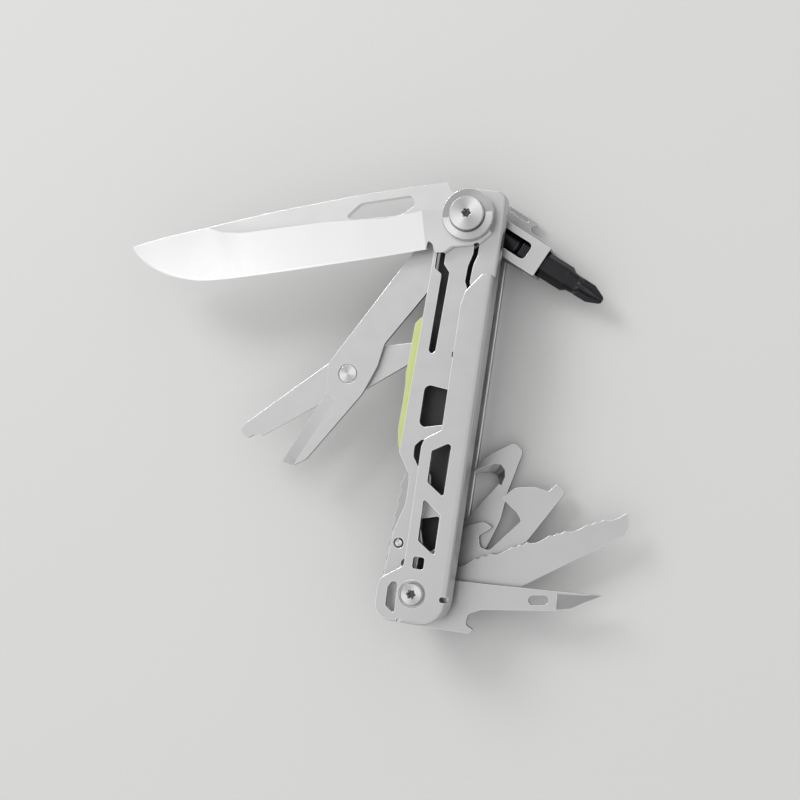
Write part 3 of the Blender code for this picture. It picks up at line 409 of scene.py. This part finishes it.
def makeTurnedMaterial(name, look, centre, recess):
    # bright steel with lathe rings; a recess or a ledge below its top gets a darker colour, painted
    # shade
    made, tree, shader = newMaterial(name, look)
    rings = placeGroup(tree, turnedRings, Centre=centre, Rings=look["rings"], Turn=look["turn"])
    tone = unevenTone(tree, look, rings)
    # painted highlight and shade: the colour dims to the fan factor away from two fans round the centre
    fan = addNode(tree, "ShaderNodeMix", data_type="RGBA", blend_type="MULTIPLY")
    fan.inputs[0].default_value = 1.0
    sweep = blend(tree, rings, "Fan", (look["fan"],) * 3, (1.0, 1.0, 1.0))
    tree.links.new(tone.outputs[2], fan.inputs[6])
    tree.links.new(sweep.outputs[2], fan.inputs[7])
    # painted shade: inside the radius and below the top by the lip, the colour turns to the recess's
    # darker one
    if recess:
        below = belowHeight(tree, recess["top"] - recess["lip"])
        inside = addNode(tree, "ShaderNodeMath", operation="LESS_THAN")
        join(tree, rings, "Reach", inside, 0)
        inside.inputs[1].default_value = recess["radius"]
        lower = addNode(tree, "ShaderNodeMath", operation="MULTIPLY")
        join(tree, below, 0, lower, 0)
        join(tree, inside, 0, lower, 1)
        fan = blend(tree, lower, 0, fan, recess["colour"])
    rough = unevenGloss(tree, look, rings)
    edge = finishEdges(tree, shader, look, fan, rough, "Result")
    bump(tree, rings, "Height", shader, look["depth"], look["strength"], edge)
    shader.inputs["Anisotropic"].default_value = look["streak"]
    tangent = addNode(tree, "ShaderNodeTangent", direction_type="RADIAL", axis="Z")
    join(tree, tangent, "Tangent", shader, "Tangent")
    return made


def makeCoatedMaterial(name, look):
    # black oxide or colour anodising, rubbed brighter on the edges
    made, tree, shader = newMaterial(name, look)
    blast = placeGroup(tree, beadBlast, Grain=look["grain"], Mottle=look["mottle"])
    marks = placeGroup(tree, handling)
    tone = unevenTone(tree, look, blast)
    rough = unevenGloss(tree, look, blast)
    worn = addUp(tree, rough, "Result", marks, "Mask", -look["smudge"])
    edge = finishEdges(tree, shader, look, tone, worn, 0)
    bump(tree, blast, "Height", shader, look["depth"], look["strength"], edge)
    return made


# How each CAD node is dressed


def makeCreaseGroup():
    # marks every edge sharper than the limit, so that curved faces shade smoothly
    group = bpy.data.node_groups.new("creaseByAngle", "GeometryNodeTree")
    group.interface.new_socket("Geometry", in_out="INPUT", socket_type="NodeSocketGeometry")
    limit = group.interface.new_socket("Limit", in_out="INPUT", socket_type="NodeSocketFloat")
    group.interface.new_socket("Geometry", in_out="OUTPUT", socket_type="NodeSocketGeometry")
    ins = group.nodes.new("NodeGroupInput")
    outs = group.nodes.new("NodeGroupOutput")
    faces = addNode(group, "GeometryNodeSetShadeSmooth", domain="FACE")
    join(group, ins, "Geometry", faces, "Geometry")
    angle = addNode(group, "GeometryNodeInputMeshEdgeAngle")
    soft = addNode(group, "FunctionNodeCompare", data_type="FLOAT", operation="LESS_EQUAL")
    group.links.new(angle.outputs["Unsigned Angle"], soft.inputs[0])
    group.links.new(ins.outputs["Limit"], soft.inputs[1])
    edges = addNode(group, "GeometryNodeSetShadeSmooth", domain="EDGE")
    join(group, faces, "Geometry", edges, "Geometry")
    group.links.new(soft.outputs["Result"], edges.inputs["Shade Smooth"])
    join(group, edges, "Geometry", outs, "Geometry")
    return group, limit.identifier


creaseByAngle, limitSocket = makeCreaseGroup()
dressing = {
    "weld": 0.004 * mm,
    "sheetCrease": 30,  # degrees
    "toolCrease": 13,
}


def dress(name, material, limit=dressing["sheetCrease"]):
    obj = nodes[name]
    for attribute in ("custom_normal", "sharp_edge", "sharp_face"):
        if attribute in obj.data.attributes:
            obj.data.attributes.remove(obj.data.attributes[attribute])
    obj.data.materials.clear()
    obj.data.materials.append(material)
    weld = obj.modifiers.new("weld", "WELD")
    weld.merge_threshold = dressing["weld"]
    crease = obj.modifiers.new("crease", "NODES")
    crease.node_group = creaseByAngle
    crease[limitSocket] = math.radians(limit)
    normals = obj.modifiers.new("normals", "WEIGHTED_NORMAL")
    normals.keep_sharp = True


def centreOf(name):
    low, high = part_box(name)
    return ((low.x + high.x) / 2, (low.y + high.y) / 2, 0)


sheetFinish = {
    "colour": (0.56, 0.56, 0.565),
    "roughness": 0.40,
    "grain": 9000.0,
    "mottle": 240.0,
    "spread": (0.94, 1.05),
    "uneven": (0.05, 0.05),
    "smudge": 0.05,
    "depth": 0.02 * mm,
    "strength": 0.35,
    "edge": 0.3 * mm,
    # painted highlight: near-white rim colour along the edges
    "edgeColour": (0.95, 0.95, 0.95),
    "edgeRoughness": 0.24,
    "wear": 0.25,
}
sheetSteel = makeSheetMaterial("satinSheet", sheetFinish)


def dressCovers():
    for name in ("front_cover", "rear_cover", "lock_plate"):
        dress(name, sheetSteel)
    grip = {**sheetFinish, "colour": (0.44, 0.44, 0.445), "edge": 0.15 * mm}
    dress("thumb_grip_plate", makeSheetMaterial("gripSteel", grip))
    liner = {
        "colour": (0.055, 0.055, 0.058),
        "metallic": 0.7,
        "roughness": 0.42,
        "grain": 8000.0,
        "mottle": 300.0,
        "spread": (0.8, 1.3),
        "uneven": (0.06, 0.06),
        "smudge": 0.05,
        "depth": 0.01 * mm,
        "strength": 0.3,
        "edge": 0.1 * mm,
        "edgeColour": (0.10, 0.10, 0.105),
        "edgeRoughness": 0.3,
        "wear": 0.4,
    }
    dress("inner_liner", makeCoatedMaterial("linerBlack", liner))


def dressTools():
    tools = (
        "scissors_front_blade",
        "scissors_rear_blade",
        "awl_bottle_opener",
        "serrated_blade",
        "can_opener",
        "strap_hook",
    )
    tool = {**sheetFinish, "ground": (0.36, 0.36, 0.365), "edge": 0.18 * mm}
    toolSteel = makeSheetMaterial("toolSteel", tool)
    for name in tools:
        dress(name, toolSteel, dressing["toolCrease"])
    low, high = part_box("driver_arm")
    # painted shade: the lower half of the driver arm, its rear plate, is darker
    arm = {**tool, "rear": (0.40, 0.40, 0.405), "rearTop": (low.z + high.z) / 2}
    dress("driver_arm", makeSheetMaterial("armSteel", arm), dressing["toolCrease"])


def dressBlade():
    blade = {
        "colour": (0.66, 0.66, 0.66),
        "polished": (0.95, 0.95, 0.95),
        "roughness": 0.34,
        "polish": 0.2,
        "lines": (0.95, 0.95, 0.95),
        "smudge": 0.05,
        "angle": math.radians(169.1),
        "across": 60.0,
        "along": 5200.0,
        "depth": 0.01 * mm,
        "strength": 0.25,
        "edge": 0.08 * mm,
        # painted highlight: near-white rim colour along the edges
        "edgeColour": (0.95, 0.95, 0.95),
        "edgeRoughness": 0.2,
        "wear": 0.1,
    }
    dress("main_blade", makeBladeMaterial("bladeSteel", blade))


def dressFasteners():
    turned = {
        "colour": (0.74, 0.74, 0.74),
        "spread": (0.92, 1.06),
        "roughness": 0.26,
        "uneven": (0.04, 0.06),
        "rings": 7000.0,
        "depth": 0.012 * mm,
        "strength": 0.4,
        "streak": 0.7,
        "turn": math.radians(-35),
        "fan": 0.66,
        "edge": 0.12 * mm,
        # painted highlight: near-white rim colour along the edges
        "edgeColour": (0.93, 0.93, 0.93),
        "edgeRoughness": 0.2,
        "wear": 0.2,
    }
    # painted shade: the drive recesses of the screw heads, below their tops, get a near-black colour
    recessShade = {"radius": 1.36 * mm, "lip": 0.06 * mm, "colour": (0.10, 0.10, 0.10)}  # drive recesses
    # painted shade: the pivot disc's lowered ledge gets a darker grey
    ledge = {"radius": 8 * mm, "lip": 0.35 * mm, "colour": (0.42, 0.42, 0.42)}
    recesses = {"blade_pivot_screw": recessShade, "lower_pivot_screw": recessShade, "pivot_disc": ledge}
    fasteners = (
        "pivot_disc",
        "blade_pivot_screw",
        "upper_axle",
        "upper_rear_spacer",
        "upper_front_spacer",
        "lower_pivot_screw",
        "lower_axle",
        "lower_spacer",
        "lower_front_spacer",
        "tool_washer_1",
        "tool_washer_2",
        "tool_washer_3",
        "scissors_rivet",
        "scissors_spring",
        "grip_rivet",
        "lever_pin",
    )
    made = {}
    for name in fasteners:
        centre = centreOf(name)
        recess = None
        if name in recesses:
            recess = {**recesses[name], "top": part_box(name)[1].z}
        key = (name if recess else "plain", *(round(value / mm, 2) for value in centre))
        if key not in made:
            made[key] = makeTurnedMaterial("turnedSteel%d" % len(made), turned, centre, recess)
        dress(name, made[key])


def dressDriver():
    black = {
        "colour": (0.028, 0.028, 0.031),
        "metallic": 0.85,
        "roughness": 0.36,
        "grain": 7000.0,
        "mottle": 500.0,
        "spread": (0.8, 1.3),
        "uneven": (0.06, 0.06),
        "smudge": 0.05,
        "depth": 0.015 * mm,
        "strength": 0.35,
        "edge": 0.18 * mm,
        "edgeColour": (0.16, 0.16, 0.165),
        "edgeRoughness": 0.26,
        "wear": 0.5,
    }
    bitBlack = makeCoatedMaterial("bitBlack", black)
    dress("driver_bit", bitBlack)
    dress("bit_socket", bitBlack)


def dressLever():
    lever = {
        "colour": (0.60, 0.66, 0.27),
        "metallic": 0.35,
        "roughness": 0.42,
        "grain": 8000.0,
        "mottle": 300.0,
        "spread": (0.92, 1.06),
        "uneven": (0.06, 0.06),
        "smudge": 0.05,
        "depth": 0.012 * mm,
        "strength": 0.3,
        "edge": 0.2 * mm,
        "edgeColour": (0.74, 0.80, 0.42),
        "edgeRoughness": 0.3,
        "wear": 0.4,
    }
    dress("release_lever", makeCoatedMaterial("leverGreen", lever))


dressCovers()
dressTools()
dressBlade()
dressFasteners()
dressDriver()
dressLever()
print("finishes: %d materials" % len(bpy.data.materials))


# Floor, light and camera


def makeFloor():
    floor = {
        "size": 6.0,
        "gap": 0.02 * mm,
        "colour": (0.66, 0.66, 0.655),
        "roughness": 0.7,
        "metallic": 0.0,
        "fibre": 900.0,
        "spread": (0.985, 1.01),
    }
    half = floor["size"] / 2
    mesh = bpy.data.meshes.new("floor")
    corners = [(-half, -half, 0), (half, -half, 0), (half, half, 0), (-half, half, 0)]
    mesh.from_pydata(corners, [], [(0, 1, 2, 3)])
    obj = bpy.data.objects.new("floor", mesh)
    bpy.context.scene.collection.objects.link(obj)
    obj.location.z = cadBox[0][2] - floor["gap"]
    made, tree, shader = newMaterial("floorPaper", floor)
    paper = addNode(tree, "ShaderNodeTexNoise", in_Scale=floor["fibre"], in_Detail=3.0)
    place = addNode(tree, "ShaderNodeTexCoord")
    join(tree, place, "Object", paper, "Vector")
    darker, brighter = (shaded(floor["colour"], factor) for factor in floor["spread"])
    tone = blend(tree, paper, "Fac", darker, brighter)
    tree.links.new(tone.outputs[2], shader.inputs["Base Color"])
    mesh.materials.append(made)


def addSoftbox(name, place, aim, size, power):
    light = bpy.data.lights.new(name, "AREA")
    light.shape = "RECTANGLE"
    light.size, light.size_y = size
    light.energy = power
    obj = bpy.data.objects.new(name, light)
    obj.location = place
    obj.rotation_euler = (Vector(aim) - Vector(place)).to_track_quat("-Z", "Y").to_euler()
    bpy.context.scene.collection.objects.link(obj)


def makeLight():
    studio = {
        "overhead": 0.84,
        "horizon": 0.07,
        "fade": (-0.05, 0.45),  # the sky brightens between these heights of a unit sphere
        "softboxes": {
            "keySoftbox": ((-0.75, 0.65, 0.75), (0.5, 0.5), 5.5),
            "bladeSoftbox": ((-0.42, -0.20, 0.9), (0.5, 0.3), 0.16),
        },
    }
    world = bpy.data.worlds.new("studio")
    world.use_nodes = True
    tree = world.node_tree
    sky = tree.nodes["Background"]
    sky.inputs["Color"].default_value = (1, 1, 1, 1)
    place = addNode(tree, "ShaderNodeTexCoord")
    split = addNode(tree, "ShaderNodeSeparateXYZ")
    join(tree, place, "Generated", split, "Vector")
    height = addNode(tree, "ShaderNodeMapRange", interpolation_type="SMOOTHSTEP")
    height.inputs["From Min"].default_value = studio["fade"][0]
    height.inputs["From Max"].default_value = studio["fade"][1]
    height.inputs["To Min"].default_value = studio["horizon"]
    height.inputs["To Max"].default_value = studio["overhead"]
    join(tree, split, "Z", height, "Value")
    join(tree, height, "Result", sky, "Strength")
    bpy.context.scene.world = world
    for name, (place, size, power) in studio["softboxes"].items():
        addSoftbox(name, place, (0, 0, 0), size, power)


def makeCamera():
    camera = {
        "place": (0.0764, -0.0138, 0.3403),
        "turn": (0.0785, 0.2559, 0.1504),
        "lens": 59.35,
        "sensor": 36,
        "near": 0.01,
    }
    data = bpy.data.cameras.new("camera")
    data.lens = camera["lens"]
    data.sensor_width = camera["sensor"]
    data.clip_start = camera["near"]
    obj = bpy.data.objects.new("camera", data)
    obj.location = camera["place"]
    obj.rotation_euler = camera["turn"]
    bpy.context.scene.collection.objects.link(obj)
    bpy.context.scene.camera = obj


makeFloor()
makeLight()
makeCamera()
bpy.context.scene.view_settings.view_transform = "Standard"
print("stage: floor, lights and camera")
